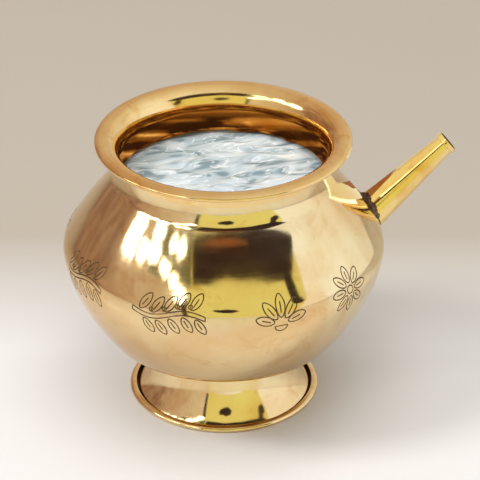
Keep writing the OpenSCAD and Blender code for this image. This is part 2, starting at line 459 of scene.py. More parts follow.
def sprig():
    """Wavy double stem with leaves to both sides."""
    stem_half, wave, length = 0.75, 1.5, 13.5

    def stem_y(x):
        return wave * math.sin(math.pi * x / length)

    xs = steps(-length, length, 60)
    upper = [(x, stem_y(x) + stem_half) for x in xs]
    lower = [(x, stem_y(x) - stem_half) for x in reversed(xs)]
    lines = [(True, upper + lower)]
    for k, x in enumerate(steps(-10.5, 8.5, 4)):
        gap = stem_half + 0.75
        lines += leaf((x, stem_y(x) + gap), 58, 7.0, 3.2)
        lines += leaf((x + 1.6, stem_y(x + 1.6) - gap), -58, 6.6, 3.0)
        if k < 4:
            lines += ring((x + 4.4, stem_y(x + 4.4) + stem_half + 1.7), 0.75)
    return lines


# Directions round the pot in degrees, counter-clockwise from the spout
MOTIFS = (
    (-58, rosette), (-88, side_flower), (-128, sprig), (-170, sprig),
    (151, side_flower), (121, rosette), (81, sprig), (42, side_flower),
)
MOTIF_S = 11.2
GROOVE_HALF = 0.24
GROOVE_DEPTH = 0.17
GROOVE_ROUND = 0.7
GRID_GAP = 0.62


def engraved_lines():
    """Every engraved line on the map."""
    lines = []
    for angle, motif in MOTIFS:
        centre_u = math.radians(angle) * BELLY_R
        for closed, points in motif():
            placed = [(centre_u + x, MOTIF_S + y) for x, y in points]
            lines.append((closed, resampled(placed, closed)))
    return lines


def sideways(points, closed, shift):
    """A line moved sideways by shift."""
    path = np.array(points)
    if closed:
        ahead, behind = np.roll(path, -1, axis=0), np.roll(path, 1, axis=0)
    else:
        ahead = np.vstack([path[1:], path[-1:]])
        behind = np.vstack([path[:1], path[:-1]])
    run = ahead - behind
    run /= np.maximum(np.hypot(run[:, 0], run[:, 1])[:, None], 1e-9)
    return path + np.column_stack([-run[:, 1], run[:, 0]]) * shift


class MapMesh:
    """Collects points and fixed edges on the map for one triangulation."""

    def __init__(self):
        self.points, self.edges = [], []

    def add_line(self, points, closed):
        first = len(self.points)
        self.points += [Vector((float(x), float(y))) for x, y in points]
        last = len(self.points)
        self.edges += [(i, i + 1) for i in range(first, last - 1)]
        if closed:
            self.edges.append((last - 1, first))


def distances_to(lines_points, queries):
    """Distance of each query point to the nearest of many sample points, if below a cell."""
    cell, far = 1.0, 9.0
    bins = {}
    for x, y in lines_points:
        bins.setdefault((math.floor(x / cell), math.floor(y / cell)), []).append((x, y))
    packed = {k: np.array(v) for k, v in bins.items()}
    found = np.full(len(queries), far)
    for n, (x, y) in enumerate(queries):
        i, j = math.floor(x / cell), math.floor(y / cell)
        best = far**2
        for di in (-1, 0, 1):
            for dj in (-1, 0, 1):
                near = packed.get((i + di, j + dj))
                if near is not None:
                    best = min(best, float(((near - (x, y)) ** 2).sum(axis=1).min()))
        found[n] = math.sqrt(best)
    return found


def dense_samples(lines, spacing=0.06):
    """Points close together along the lines, for measuring distances."""
    samples = []
    for closed, points in lines:
        path, along = measured(points, closed)
        samples += points_at(path, along, np.arange(0, along[-1], spacing))
    return samples


def shell_plan(lines, samples, hole):
    """Points and triangles of the shell's map.

    Fixed edges follow its border, the spout's hole, and the middle and sides of each groove."""
    plan = MapMesh()
    around, rows = ROUND_STEPS, 40
    us = np.linspace(-HALF_TURN_U, HALF_TURN_U, around + 1)
    ss = np.linspace(0, SHELL_TOP_S, rows + 1)
    border = [(u, 0.0) for u in us] + [(HALF_TURN_U, s) for s in ss[1:]]
    border += [(u, SHELL_TOP_S) for u in us[-2::-1]] + [(-HALF_TURN_U, s) for s in ss[-2:0:-1]]
    plan.add_line(border, True)
    plan.add_line(hole, True)
    grid = [(u, s) for s in ss[1:-1] for u in us[1:-1]]
    clear = distances_to(samples + hole, grid) > GRID_GAP
    plan.points += [Vector(p) for p, keep in zip(grid, clear, strict=True) if keep]
    for closed, points in lines:
        for shift in (-GROOVE_HALF, 0.0, GROOVE_HALF):
            plan.add_line(sideways(points, closed, shift), closed)
    flat, _, triangles, *_ = delaunay_2d_cdt(plan.points, plan.edges, [], 0, 1e-5)
    return np.array([tuple(p) for p in flat]), triangles


def hole_test(hole):
    """A test for points of the map that lie inside the spout's hole."""
    outline = np.array(hole)
    centre = outline.mean(axis=0)
    off = outline - centre
    turns = np.arctan2(off[:, 1], off[:, 0])
    order = np.argsort(turns)
    reaches = np.hypot(off[:, 0], off[:, 1])

    def inside(u, s):
        turn = math.atan2(s - centre[1], u - centre[0])
        reach = np.interp(turn, turns[order], reaches[order], period=2 * math.pi)
        return math.hypot(u - centre[0], s - centre[1]) < reach

    return inside


def upper_shell_mesh():
    """The upper shell: an engraved outer face pierced for the spout, and a plain inner face.

    Returned with it is whether each triangle of the outer face lies in a groove."""
    lines = engraved_lines()
    samples = dense_samples(lines)
    hole = [on_map(spout_ray(turn, spout_meets_belly(turn))) for turn in round_turns(96)]
    flat, triangles = shell_plan(lines, samples, hole)
    nearness = np.clip(1 - distances_to(samples, flat) / GROOVE_HALF, 0, 1)
    verts, normals = [], []
    for (u, s), near in zip(flat, nearness, strict=True):
        position, normal = shell_at(u, s, GROOVE_DEPTH * near**GROOVE_ROUND)
        verts.append(position)
        normals.append(normal)
    in_hole = hole_test(hole)
    faces, cut = [], []
    middles = flat[np.array(triangles)].mean(axis=1)
    middle_off = distances_to(samples, middles)
    for corners, middle, away in zip(triangles, middles, middle_off, strict=True):
        if not in_hole(*middle):
            faces.append(tuple(corners))
            cut.append(away < GROOVE_HALF * 0.9)
    obj = new_object("shell_engraved", verts, faces + add_shell_inside(verts))
    set_shell_normals(obj.data, normals, cut)
    return obj, cut


def add_shell_inside(verts):
    """Adds the shell's inner face and edges to verts and returns their faces."""
    outline = [tuple(SHELL[-1]), crease_point(WALL)]
    outline += list(reversed(shoulder_points(16, WALL)))
    outline += list(reversed(bowl_points(SEAM_Z + SEAM_GAP / 2, BELLY_Z, 14, WALL)))
    outline.append(tuple(SHELL[0]))
    first = len(verts)
    count = ROUND_STEPS
    for r, z in outline:
        verts += [on_circle(r, a - math.pi, z) for a in round_turns(count)]
    faces = []
    for row in range(len(outline) - 1):
        low, high = first + row * count, first + (row + 1) * count
        for i in range(count):
            j = (i + 1) % count
            middle = (verts[low + i] + verts[high + j]) / 2
            if not in_spout_bore(middle):
                faces.append((low + i, low + j, high + j, high + i))
    return faces


def in_spout_bore(point):
    """Whether a point lies inside the spout's outer cone."""
    off = point - SPOUT_TIP
    back = -off.dot(SPOUT_ALONG)
    across = (off + SPOUT_ALONG * back).length
    return back > 0 and across < SPOUT_TIP_R + SPOUT_TAPER * back


def set_shell_normals(mesh, normals, cut):
    """Exact normals on the spun face, and facet normals inside the grooves."""
    custom = []
    for index, polygon in enumerate(mesh.polygons):
        for v in polygon.vertices:
            if index >= len(cut):
                custom.append((0.0, 0.0, 0.0))
            elif cut[index]:
                custom.append(tuple(polygon.normal))
            else:
                custom.append(tuple(normals[v]))
    mesh.normals_split_custom_set(custom)


# --- Other pieces ----------------------------------------------------------------------


def lower_bowl():
    """Spun bowl with a joggled tongue that laps inside the upper shell."""
    step_z = SEAM_Z - SEAM_GAP / 2
    tongue_z = SEAM_Z + SEAM_LAP
    tongue_depth = WALL + 0.02
    joggle_z = SEAM_Z - WALL
    joggle_run = 1.5
    outline = [(0, SEAT_Z), seat_corner()] + heel_points(12) + bowl_points(HEEL_Z, step_z, 40)
    outline += [bowl_point(z, tongue_depth) for z in (step_z, tongue_z)]
    outline += [bowl_point(z, tongue_depth + WALL) for z in (tongue_z, joggle_z)]
    outline += bowl_points(HEEL_Z, joggle_z - joggle_run, 24, WALL)[::-1]
    outline += heel_points(8, WALL)[::-1] + [seat_corner(WALL), (0, SEAT_Z + WALL)]
    return lathe("bowl_spun", outline)


def mouth_flare():
    """Neck, flare, drooping lip and rolled bead."""
    droop_centre = (CREST_R, POT_HEIGHT - LIP_DROOP_R)
    edge_normal = 90 - LIP_DROOP_ANGLE
    bead_centre = on_arc(droop_centre, LIP_DROOP_R - LIP_BEAD_R, edge_normal)
    bead_angles = steps(edge_normal, edge_normal - 180, 16)[1:]
    outline = [(NECK_R - WALL, NECK_Z - NECK_SPIGOT), (NECK_R - WALL, NECK_Z)] + flare_points(28)
    outline += [on_arc(droop_centre, LIP_DROOP_R, a) for a in steps(90, edge_normal, 8)[1:]]
    outline += [on_arc(bead_centre, LIP_BEAD_R, a) for a in bead_angles]
    outline += [on_arc(droop_centre, LIP_DROOP_R - WALL, a) for a in steps(edge_normal, 90, 8)[:-1]]
    outline += flare_points(28, WALL)[::-1] + [(NECK_R, NECK_Z - NECK_SPIGOT)]
    return lathe("mouth_spun", outline[::-1])


def foot_skirt():
    """Flange, waist and flare of the foot."""
    outline = [(SKIRT_FLANGE_R, SEAT_Z), (WAIST_R, SEAT_Z)] + skirt_points(30)
    outline += [(SKIRT_R, SKIRT_EDGE_Z), (SKIRT_R - WALL, SKIRT_EDGE_Z)]
    outline += skirt_points(20, WALL)[::-1]
    outline += [(WAIST_R - WALL, SEAT_Z - WALL), (SKIRT_FLANGE_R, SEAT_Z - WALL)]
    return lathe("foot_spun", outline[::-1])


def foot_rim():
    """Oval ring with an open groove between its crown and the skirt."""
    half_width = (FOOT_RIM_R - SKIRT_R) / 2 + FOOT_RIM_CROWN
    centre = (FOOT_RIM_R - half_width, FOOT_RIM_H - FOOT_RIM_CROWN_H)
    groove_r = SKIRT_R + FOOT_GROOVE_W

    def oval(t):
        return (centre[0] + half_width * math.cos(t), centre[1] + FOOT_RIM_CROWN_H * math.sin(t))

    start = -math.asin(centre[1] / FOOT_RIM_CROWN_H)
    end = math.acos((groove_r - centre[0]) / half_width)
    outline = [oval(t) for t in steps(start, end, 30)]
    outline += [(groove_r, FOOT_GROOVE_Z), (SKIRT_R, FOOT_GROOVE_Z), (SKIRT_R, 0)]
    return lathe("foot_ring", outline)


def slanted(point):
    """A point near the spout's tip, drawn back so that the opening leans to one side."""
    off = point - SPOUT_TIP
    hold = 1 + off.dot(SPOUT_ALONG) / TIP_RING_LEN
    lean = TIP_SLANT * (TIP_RING_R - off.dot(SPOUT_SIDE))
    return point - SPOUT_ALONG * lean * max(0.0, hold)


def tube_rows(turns, grow, depth, rows):
    """Rings of points along the spout's cone, from just inside the tip down to the belly."""
    rings = [[] for _ in range(rows + 1)]
    for turn in turns:
        end = spout_meets_belly(turn, depth, grow)
        for k, back in enumerate(steps(TIP_INSET, end, rows)):
            rings[k].append(slanted(spout_ray(turn, back, grow)))
    return rings


def bridge(rings, count, closed=False):
    """Quads between each of a number of rings of points and the next."""
    faces = []
    for row in range(rings if closed else rings - 1):
        low, high = row * count, (row + 1) % rings * count
        for i in range(count):
            j = (i + 1) % count
            faces.append((low + i, low + j, high + j, high + i))
    return faces


def spout_tube():
    """Rolled tube, trimmed to the inside of the shell, with painted shade on its inner face."""
    count, rows = 96, 60
    turns = round_turns(count)
    outer = tube_rows(turns, 0.0, WALL, rows)
    inner = tube_rows(turns, -SPOUT_WALL, WALL, 20)
    rings = outer + inner[::-1]
    verts = [v for points in rings for v in points]
    obj = new_object("spout_rolled", verts, bridge(len(rings), count, closed=True))
    row_of = [i // count for i in range(len(verts))]
    mark_sharp_rows(obj, row_of, {0, rows, rows + 1, len(rings) - 1})
    # The inner face takes the second material, painted shade.
    inside = [int(i >= rows * count) for i in range(len(obj.data.polygons))]
    obj.data.polygons.foreach_set("material_index", inside)
    return obj


def spout_tip_ring():
    """Ring with rounded edges around the tip, and a chamfer down to the tube's end painted dark as
    shade.
    """
    tube_r = SPOUT_TIP_R + SPOUT_TAPER * TIP_RING_LEN
    round_r = TIP_RING_R - tube_r
    outline = [(tube_r, -TIP_RING_LEN)]
    back_centre = (tube_r, round_r - TIP_RING_LEN)
    edge_centre = (TIP_RING_R - TIP_EDGE, -TIP_EDGE)
    outline += [on_arc(back_centre, round_r, a) for a in steps(-90, 0, 8)[1:]]
    outline += [on_arc(edge_centre, TIP_EDGE, a) for a in steps(0, 90, 8)]
    outline.append((SPOUT_TIP_R + SPOUT_TAPER * TIP_INSET, -TIP_INSET))
    count = 96
    obj = lathe("spout_ring", outline, lambda v: slanted(on_spout(v)), count)
    # The chamfer takes the second material, painted shade.
    chamfer = range((len(outline) - 2) * count, (len(outline) - 1) * count)
    for index in chamfer:
        obj.data.polygons[index].material_index = 1
    return obj


def belly_braze():
    """Hairline of braze in the belly seam."""
    low, high = SEAM_Z - SEAM_GAP / 2, SEAM_Z + SEAM_GAP / 2
    outline = [bowl_point(low, WALL), bowl_point(low), bowl_point(high), bowl_point(high, WALL)]
    return lathe("seam_line", outline)


def neck_braze():
    """Broad turned fillet of braze where the neck stands on the shoulder."""
    slope = CROWN_END_NORMAL
    leg = NECK_FILLET_R * math.tan(math.radians(slope / 2))
    centre = (NECK_R + NECK_FILLET_R, NECK_Z + leg)
    outline = [(NECK_R - 0.2, NECK_Z)]
    outline += [on_arc(centre, NECK_FILLET_R, 180 + a) for a in steps(slope, 0, 24)]
    return lathe("neck_line", outline)


def foot_braze():
    """Concave fillet of braze between the skirt and the seat, a little sunk into the corner."""
    leg, sink = FOOT_FILLET, 0.15 / math.sqrt(2)
    outline = [(WAIST_R + leg * t**2, SEAT_Z - leg * (1 - t) ** 2) for t in steps(0, 1, 8)]
    outline.append((WAIST_R - sink, SEAT_Z + sink))
    return lathe("foot_line", outline)


def on_shell(point, depth=0.0):
    """The nearest point of the belly's outer face, at the same angle round the pot."""
    u, s = on_map(point)
    flat = np.array([math.hypot(point.x, point.y), point.z])
    s = SHELL_S[np.argmin(((SHELL - flat) ** 2).sum(axis=1))]
    return shell_at(u, s, depth)[0]


SOLDER_TURN = math.radians(-160)


def spout_braze():
    """Uneven hand-run solder around the root of the spout, heaviest at SOLDER_TURN."""
    count, bend = 160, 9
    rings = [[] for _ in range(bend + 2)]
    for turn in round_turns(count):
        end = spout_meets_belly(turn)
        root = spout_ray(turn, end)
        lump = noise.noise(Vector((math.cos(turn) * 2.1, math.sin(turn) * 2.1, 4.0)))
        grain = noise.noise(Vector((math.cos(turn) * 6.5, math.sin(turn) * 6.5, 9.0)))
        heavy = max(0.0, math.cos(turn - SOLDER_TURN)) ** 2
        up_leg = 0.9 + 1.3 * heavy + 0.8 * lump + 0.5 * grain
        out_leg = 1.1 + 2.6 * heavy + 0.7 * lump - 0.5 * grain
        top = spout_ray(turn, end - up_leg, 0.04)
        away = spout_ray(turn, end, out_leg)
        foot = on_shell(away, -0.04)
        fat = 0.55 - 0.5 * heavy + 0.25 * grain
        control = root.lerp((top + foot) / 2, fat)
        for k, t in enumerate(steps(0, 1, bend)):
            point = top * (1 - t) ** 2 + control * 2 * t * (1 - t) + foot * t**2
            rings[k].append(point)
        rings[-1].append(spout_ray(turn, end + 0.3, -0.3))
    verts = [v for points in rings for v in points]
    rough = []
    for v in verts:
        push = noise.noise(v * 0.7) * 0.4 + noise.noise(v * 2.0) * 0.14
        on_axis = SPOUT_TIP - SPOUT_ALONG * (SPOUT_TIP - v).dot(SPOUT_ALONG)
        outward = (v - on_axis).normalized()
        rough.append(v + outward * max(push, -0.02))
    return new_object("spout_solder", rough, bridge(len(rings), count, closed=True))


def water():
    """Top few millimetres of the water, with a rippled surface."""
    slab, gap = 3.0, 0.55
    rows, count = 90, 240
    tilt = math.radians(SHOULDER_NORMAL)
    top_r = NECK_R + (NECK_Z - WATER_Z) * math.tan(tilt) - WALL / math.cos(tilt) - gap
    verts = [Vector((0, 0, WATER_Z + ripple(0, 0)))]
    for row in range(1, rows + 1):
        r = top_r * row / rows
        for a in round_turns(count):
            x, y = r * math.cos(a), r * math.sin(a)
            verts.append(Vector((x, y, WATER_Z + ripple(x, y))))
    verts += [on_circle(top_r, a, WATER_Z - slab) for a in round_turns(count)]
    bottom = len(verts)
    verts.append(Vector((0, 0, WATER_Z - slab)))
    faces = [(0, 1 + i, 1 + (i + 1) % count) for i in range(count)]
    for row in range(rows):
        near, far = 1 + row * count, 1 + (row + 1) * count
        for i in range(count):
            j = (i + 1) % count
            faces.append((near + i, far + i, far + j, near + j))
    last = 1 + rows * count
    faces += [(last + (i + 1) % count, last + i, bottom) for i in range(count)]
    return new_object("water_surface", verts, faces)


def ripple(x, y):
    """Height of the water's ripples at a place, in millimetres."""
    bend = noise.noise(Vector((x * 0.05, y * 0.05, 1.0))) * 5
    first = noise.noise(Vector((x * 0.08 + bend * 0.2, y * 0.20 + bend * 0.3, 2.0)))
    second = noise.noise(Vector((x * 0.16 - bend * 0.2, y * 0.40 + bend * 0.4, 7.0)))
    return 0.75 * first + 0.26 * second


# --- Materials -------------------------------------------------------------------------


class Nodes:
    """Short names for building one material."""

    def __init__(self, name):
        self.material = bpy.data.materials.new(name)
        self.material.use_nodes = True
        self.tree = self.material.node_tree
        self.shader = self.tree.nodes["Principled BSDF"]

    def add(self, kind, **values):
        node = self.tree.nodes.new(kind)
        for key, value in values.items():
            if hasattr(node, key):
                setattr(node, key, value)
            else:
                node.inputs[key.replace("_", " ")].default_value = value
        return node

    def link(self, source, target):
        self.tree.links.new(source, target)

    def feed(self, value, socket):
        """Links another socket to this one, or sets a number or colour on it."""
        if isinstance(value, bpy.types.NodeSocket):
            self.link(value, socket)
        else:
            socket.default_value = (*value, 1.0) if isinstance(value, tuple) else value

    def coordinates(self):
        return self.add("ShaderNodeTexCoord").outputs["Object"]

    def noise(self, vector, scale, detail=3.0, rough=0.5, distortion=0.0):
        node = self.add("ShaderNodeTexNoise", Scale=scale, Detail=detail, Distortion=distortion)
        node.inputs["Roughness"].default_value = rough
        self.link(vector, node.inputs["Vector"])
        return node.outputs["Fac"]

    def ramp(self, value, stops):
        node = self.add("ShaderNodeValToRGB")
        elements = node.color_ramp.elements
        while len(elements) < len(stops):
            elements.new(0.5)
        for element, (at, colour) in zip(elements, stops, strict=True):
            element.position = at
            element.color = (*colour, 1.0)
        self.link(value, node.inputs["Fac"])
        return node.outputs["Color"]

    def span(self, value, low, high, to_low, to_high):
        node = self.add("ShaderNodeMapRange")
        limits = {"From Min": low, "From Max": high, "To Min": to_low, "To Max": to_high}
        for key, number in limits.items():
            node.inputs[key].default_value = number
        self.link(value, node.inputs["Value"])
        return node.outputs["Result"]

    def emit(self, colour, strength=1.0):
        """Makes the material give light of this colour, and nothing else."""
        emission = self.add("ShaderNodeEmission", Strength=strength)
        self.feed(colour, emission.inputs["Color"])
        self.link(emission.outputs[0], self.tree.nodes["Material Output"].inputs["Surface"])
        return self.material

    def mix(self, factor, a, b, blend="MIX"):
        node = self.add("ShaderNodeMix", data_type="RGBA", blend_type=blend)
        for socket, value in (("Factor", factor), ("A", a), ("B", b)):
            self.feed(value, next(i for i in node.inputs if i.name == socket and i.enabled))
        return next(o for o in node.outputs if o.enabled)

    def math(self, operation, a, b):
        node = self.add("ShaderNodeMath", operation=operation)
        for socket, value in zip(node.inputs, (a, b)):
            self.feed(value, socket)
        return node.outputs["Value"]

    def around(self, vector):
        """Coordinates (r, z) of the pot, in which rings round its axis are straight lines."""
        split = self.add("ShaderNodeSeparateXYZ")
        self.link(vector, split.inputs[0])
        x, y = split.outputs[0], split.outputs[1]
        square = self.math("ADD", self.math("MULTIPLY", x, x), self.math("MULTIPLY", y, y))
        joined = self.add("ShaderNodeCombineXYZ")
        self.link(self.math("POWER", square, 0.5), joined.inputs[0])
        self.link(split.outputs[2], joined.inputs[1])
        return joined.outputs[0]

    def bump(self, height, distance, normal=None):
        node = self.add("ShaderNodeBump", Strength=1.0, Distance=distance)
        self.link(height, node.inputs["Height"])
        if normal is not None:
            self.link(normal, node.inputs["Normal"])
        return node.outputs["Normal"]


# Heights of the uneven face and of the spinning lines, in metres
SWELL_HEIGHT = 0.00022
RING_HEIGHT = 0.0000015


def brass(name, pale, warm, roughness=0.07, wave=1.0, spin=True, side_shade=0.0):
    """Polished brass with a mottled warm patina, faint spinning lines and a slightly uneven face.

    A share of painted shade, darker and browner, lies low on the -X side, where the belly reflects
    dim brown surroundings; its strength is the last argument."""
    n = Nodes(name)
    at = n.coordinates()
    broad = n.noise(at, 28, 4.0, 0.55, 0.6)
    spots = n.noise(at, 75, 6.0, 0.65, 0.8)
    patina = n.ramp(broad, [(0.40, pale), (0.66, warm)])
    stains = n.span(spots, 0.54, 0.74, 0.0, 0.6)
    colour = n.mix(stains, patina, warm, "MULTIPLY")
    if side_shade:
        # Painted shade: darker and browner low on the -X side.
        split = n.add("ShaderNodeSeparateXYZ")
        n.link(at, split.inputs[0])
        aside = n.span(split.outputs[0], 0.0, -0.05, 0.0, side_shade)
        low = n.span(split.outputs[2], 0.075, 0.04, 0.0, 1.0)
        patchy = n.span(broad, 0.3, 0.6, 0.6, 1.0)
        share = n.math("MULTIPLY", n.math("MULTIPLY", aside, low), patchy)
        colour = n.mix(share, colour, (0.76, 0.58, 0.38), "MULTIPLY")
    n.link(colour, n.shader.inputs["Base Color"])
    n.shader.inputs["Metallic"].default_value = 1.0
    rings = n.noise(n.around(at) if spin else at, 1400 if spin else 500, 2.0, 0.6)
    haze = n.noise(at, 60, 6.0, 0.7)
    dull = n.span(haze, 0.35, 0.75, roughness * 0.6, roughness * 1.7)
    rough = n.math("ADD", n.span(rings, 0.3, 0.7, 0.0, 0.04), dull)
    n.link(rough, n.shader.inputs["Roughness"])
    swell = n.noise(at, 38, 1.0, 0.4)
    normal = n.bump(swell, SWELL_HEIGHT * wave)
    normal = n.bump(rings, RING_HEIGHT, normal)
    n.link(normal, n.shader.inputs["Normal"])
    return n.material


def tarnish_and_shade(name, dark, light, roughness=0.5, grain=420):
    """Blackened brass with a rough skin: the real tarnish of solder and engraving, and painted
    shade in recesses.
    """
    n = Nodes(name)
    at = n.coordinates()
    mottle = n.noise(at, grain, 4.0, 0.6)
    n.link(n.ramp(mottle, [(0.35, dark), (0.7, light)]), n.shader.inputs["Base Color"])
    n.shader.inputs["Metallic"].default_value = 0.85
    dull = n.span(mottle, 0.3, 0.75, roughness * 1.2, roughness * 0.6)
    n.link(dull, n.shader.inputs["Roughness"])
    n.link(n.bump(mottle, 0.00008), n.shader.inputs["Normal"])
    return n.material


def water_material():
    """Pale blue-grey water with painted light and dark streaks and thin painted white glints,
    standing in for light on the ripples.
    """
    n = Nodes("water_rippled")
    at = n.coordinates()
    stretch = n.add("ShaderNodeMapping")
    stretch.inputs["Scale"].default_value = (1.0, 2.2, 1.0)
    stretch.inputs["Rotation"].default_value = (0, 0, math.radians(18))
    n.link(at, stretch.inputs["Vector"])
    flow = n.noise(stretch.outputs["Vector"], 70, 1.0, 0.4, 1.6)
    glint_noise = n.noise(stretch.outputs["Vector"], 75, 0.5, 0.4, 2.6)
    # Painted light and shade: dark teal and pale streaks over the water's blue-grey.
    body = n.ramp(flow, [
        (0.34, (0.22, 0.31, 0.35)), (0.48, (0.46, 0.55, 0.60)), (0.68, (0.66, 0.74, 0.79)),
    ])
    black, white = (0.0, 0.0, 0.0), (1.0, 1.0, 1.0)
    # Painted highlights: thin white glints mixed into the colour.
    shine = n.ramp(glint_noise, [(0.56, black), (0.60, white), (0.64, black)])
    colour = n.mix(n.math("MULTIPLY", shine, 0.7), body, (0.95, 0.98, 1.0))
    n.link(colour, n.shader.inputs["Base Color"])
    n.shader.inputs["Roughness"].default_value = 0.06
    n.shader.inputs["IOR"].default_value = 1.33
    return n.material


PALE_BRASS = (0.82, 0.66, 0.38)
WARM_BRASS = (0.76, 0.52, 0.25)
BODY_BRASS = brass("brass_body", PALE_BRASS, WARM_BRASS, side_shade=0.9)
MOUTH_BRASS = brass("brass_mouth", (0.85, 0.63, 0.30), (0.79, 0.50, 0.19), 0.10)
FOOT_BRASS = brass("brass_foot", PALE_BRASS, WARM_BRASS, 0.07)
SPOUT_BRASS = brass("brass_spout", (0.86, 0.64, 0.27), (0.82, 0.54, 0.20), 0.10, 0.6, spin=False)
# Painted shade: near-black brass for the foot's groove, the spout's bore and the chamfer into it.
PAINTED_SHADE = tarnish_and_shade("painted_shade_dark", (0.035, 0.02, 0.012), (0.14, 0.075, 0.03))
SOLDER = tarnish_and_shade("solder_dark", (0.02, 0.012, 0.01), (0.17, 0.10, 0.065), 0.30, 500)
ENGRAVED = tarnish_and_shade("brass_engraved", (0.07, 0.04, 0.018), (0.30, 0.19, 0.08), 0.35)


def finish_piece(obj, node, slot, *materials):
    """Gives a piece its materials and puts it in place of its CAD node."""
    for material in materials:
        obj.data.materials.append(material)
    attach(obj, "root")
    if node:
        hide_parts(node)
    return obj


def darken_faces(obj, where):
    """Moves the faces whose middle, as (r, z) in millimetres, fits where to the second material."""
    for polygon in obj.data.polygons:
        middle = polygon.center / MM
        if where(math.hypot(middle.x, middle.y), middle.z):
            polygon.material_index = 1


finish_piece(lower_bowl(), "lower_bowl", "polished_brass", BODY_BRASS)
shell, in_groove = upper_shell_mesh()
finish_piece(shell, "upper_shell", "polished_brass", BODY_BRASS, ENGRAVED)
for index, engraved in enumerate(in_groove):
    shell.data.polygons[index].material_index = int(engraved)
finish_piece(mouth_flare(), "mouth_flare", "mouth_brass", MOUTH_BRASS)
finish_piece(foot_skirt(), "foot_skirt", "foot_brass", FOOT_BRASS)
rim = finish_piece(foot_rim(), "foot_rim", "foot_brass", FOOT_BRASS, PAINTED_SHADE)
# Painted shade in the groove between the ring's crown and the skirt.
darken_faces(rim, lambda r, z: r < SKIRT_R + FOOT_GROOVE_W + 0.05 and z > FOOT_GROOVE_Z / 2)
finish_piece(spout_tube(), "spout_tube", "spout_brass", SPOUT_BRASS, PAINTED_SHADE)
finish_piece(spout_tip_ring(), "spout_tip_ring", "spout_brass", SPOUT_BRASS, PAINTED_SHADE)
finish_piece(belly_braze(), "belly_braze", "braze", BODY_BRASS)
finish_piece(neck_braze(), "neck_braze", "braze", BODY_BRASS)
finish_piece(foot_braze(), "foot_braze", "braze", SOLDER)
finish_piece(spout_braze(), "spout_braze", "braze", SOLDER)
pool = finish_piece(water(), None, None, water_material())
pool.visible_glossy = False

# --- Studio ------------------------------------------------------------------------------
# Directions are seen from the pot: azimuth from the camera towards the picture's right,
# and elevation above the horizontal, in degrees.

CAMERA_POLAR = -108.5
CAMERA_ELEVATION = 29.5
CARD_CENTRE = Vector((0, 0, 0.06))


def towards(azimuth, elevation):
    a, e = math.radians(CAMERA_POLAR + azimuth), math.radians(elevation)
    return on_circle(math.cos(e), a, math.sin(e))


def glow(name, colour, strength):
    """Light-giving material of a card."""
    return Nodes(name).emit(colour, strength)


def grid_faces(columns, rows):
    """Quads of a grid whose corners are numbered up each column in turn."""
    faces = []
    for i in range(columns - 1):
        for j in range(rows):
            a = i * (rows + 1) + j
            faces.append((a, a + 1, a + rows + 2, a + rows + 1))
    return faces


def card(name, columns, material, distance=0.9):
    """A bent card, seen only in reflections.

    Each column is (azimuth, elevation) of its lower end, then of its upper end."""
    rows, verts = 8, []
    for low_a, low_e, high_a, high_e in columns:
        for t in steps(0, 1, rows):
            direction = towards(low_a + (high_a - low_a) * t, low_e + (high_e - low_e) * t)
            verts.append((CARD_CENTRE + direction * distance) / MM)
    return reflected_only(new_object(name, verts, grid_faces(len(columns), rows)), material)


def blob(name, azimuth, elevation, wide, tall, material, seed, distance=0.88):
    """A card with an irregular round outline."""
    count = 40
    verts = [(CARD_CENTRE + towards(azimuth, elevation) * distance) / MM]
    for i in range(count):
        a = 2 * math.pi * i / count
        reach = 1 + 0.45 * noise.noise(Vector((math.cos(a) * 1.3, math.sin(a) * 1.3, seed)))
        reach += 0.2 * noise.noise(Vector((math.cos(a) * 4, math.sin(a) * 4, seed)))
        aside, up = wide * reach * math.cos(a), tall * reach * math.sin(a)
        direction = towards(azimuth + aside, elevation + up)
        verts.append((CARD_CENTRE + direction * distance) / MM)
    faces = [(0, 1 + i, 1 + (i + 1) % count) for i in range(count)]
    return reflected_only(new_object(name, verts, faces), material)


def reflected_only(obj, material):
    """Makes obj a card of the studio that shows only in reflections."""
    obj.data.materials.append(material)
    obj.visible_camera = False
    obj.visible_diffuse = False
    obj.visible_shadow = False
    return obj


def spout_card(name, spans, distance, material):
    """A card bent round the spout; each span is (turn in degrees, first and last way back)."""
    verts, rows = [], 6
    for turn, first, last in spans:
        a = math.radians(turn)
        out = (SPOUT_ACROSS * math.cos(a) + SPOUT_SIDE * math.sin(a)) * distance
        verts += [SPOUT_TIP - SPOUT_ALONG * back + out for back in steps(first, last, rows)]
    return reflected_only(new_object(name, verts, grid_faces(len(spans), rows)), material)


def inner_card():
    """Warm uneven glow at the water's level, seen only in the neck's reflections."""
    n = Nodes("glow_inner")
    patches = n.noise(n.coordinates(), 90, 3.0, 0.6, 0.8)
    colours = n.ramp(patches, [
        (0.46, (0.04, 0.015, 0.008)), (0.56, (0.40, 0.17, 0.04)),
        (0.64, (0.75, 0.40, 0.12)), (0.72, (1.6, 1.2, 0.6)),
    ])
    reach, count, z = 39.0, 48, WATER_Z - 1
    rim = [on_circle(reach, a, z) for a in round_turns(count)]
    reflected_only(new_object("card_inner", rim, [tuple(range(count))]), n.emit(colours))


